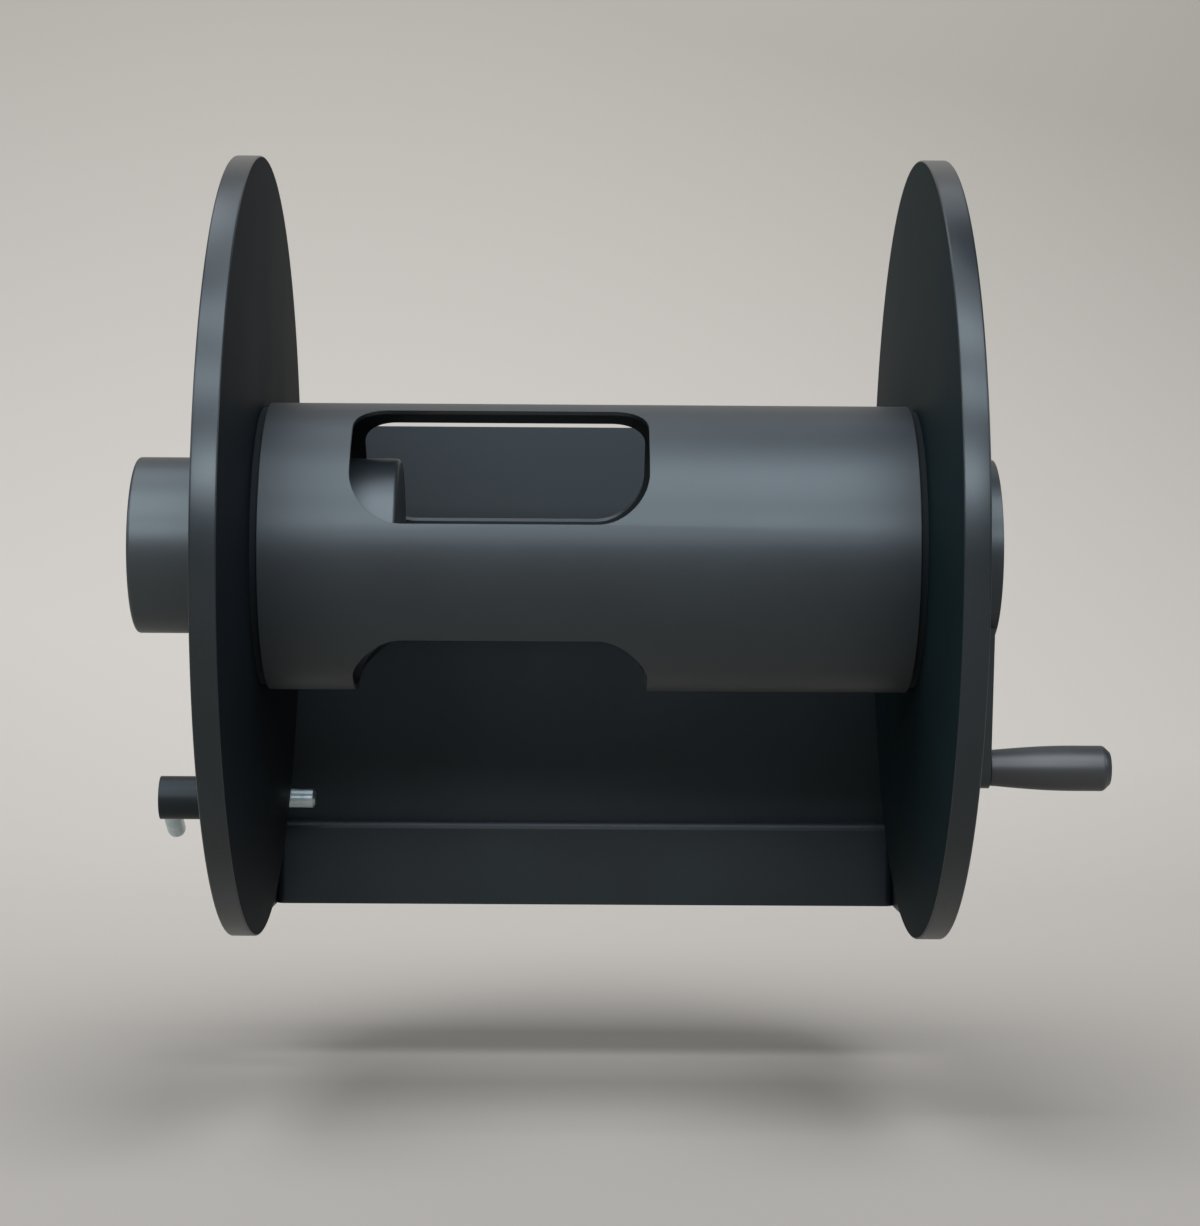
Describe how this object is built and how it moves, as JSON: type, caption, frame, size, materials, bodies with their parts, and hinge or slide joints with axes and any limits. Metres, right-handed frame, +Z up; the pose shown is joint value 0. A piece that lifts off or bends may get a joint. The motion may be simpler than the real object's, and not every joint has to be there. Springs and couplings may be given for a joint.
{
  "type": "wall-mounted hose reel",
  "caption": "Hand-cranked hose reel that bolts to a wall, with large side discs, a windowed drum, a water swivel in its left hub and a spring pull pin.",
  "frame": {"origin": "centre of the four wall bolts, on the face that meets the wall", "axes": "+X along the drum's axis towards the crank, +Y into the wall, +Z up"},
  "size_m": [0.6534, 0.544, 0.5167],
  "materials": {
    "frame_steel": "satin black powder coat",
    "rail_steel": "satin black powder coat",
    "hub_steel": "satin black powder coat",
    "drum_steel": "satin black powder coat",
    "crank_steel": "satin black powder coat",
    "disc_aluminium": "satin black coated plate",
    "plate_aluminium": "satin black coated plate",
    "shaft_steel": "turned steel",
    "zinc": "zinc plated",
    "black_screws": "black oxide",
    "spring_steel": "drawn spring wire",
    "brass": "turned brass",
    "bronze": "sintered bronze",
    "bearing_plastic": "natural acetal",
    "rubber": "smooth",
    "grip_plastic": "satin black moulded"
  },
  "bodies": {
    "frame": {"back_panel": "frame_steel", "base_rail": "rail_steel", "left_cheek": "frame_steel", "right_cheek": "frame_steel", "hanger_studs": "zinc", "tie_rod": "frame_steel", "tie_screws": "zinc", "hub_tube": "hub_steel", "hub_flange": "frame_steel", "hub_flange_screws": "zinc", "hub_outer_plate": "hub_steel", "hub_inner_plate": "hub_steel", "inlet_fitting": "brass", "swivel_housing": "brass", "swivel_retainer": "zinc", "left_thrust_washer": "bearing_plastic", "right_thrust_washer": "bearing_plastic", "bearing_housing": "frame_steel", "housing_screws": "zinc", "right_bush": "bronze", "pin_barrel": "frame_steel", "pin_guide": "zinc", "lock_spring": "spring_steel"},
    "pin": {"lock_pin": "zinc"},
    "drum": {"left_disc": "disc_aluminium", "right_disc": "disc_aluminium", "drum_tube": "drum_steel", "left_end_plate": "plate_aluminium", "right_end_plate": "plate_aluminium", "left_disc_screws": "black_screws", "right_disc_screws": "black_screws", "left_bush": "bearing_plastic", "crank_shaft": "shaft_steel", "shaft_screws": "zinc", "swivel_rotor": "brass", "swivel_seals": "rubber", "drive_arm": "frame_steel", "crank_arm": "crank_steel", "crank_screws": "black_screws", "crank_cap": "grip_plastic", "handle_spindle": "zinc", "handle_nut": "zinc"},
    "grip": {"handle_grip": "grip_plastic", "grip_plug": "grip_plastic"}
  },
  "joints": [
    {"name": "drum_turn", "type": "hinge", "parent": "frame", "child": "drum", "pos_m": [0, -0.29, 0], "axis": [1, 0, 0], "continuous": true},
    {"name": "grip_turn", "type": "hinge", "parent": "drum", "child": "grip", "pos_m": [0.3, -0.29, -0.143], "axis": [1, 0, 0], "continuous": true},
    {"name": "pin_slide", "type": "slide", "parent": "frame", "child": "pin", "axis": [-1, 0, 0], "range_m": [0, 0.034], "stiffness_N_per_m": 400, "springref_m": -0.02, "deforming": ["lock_spring"]}
  ]
}
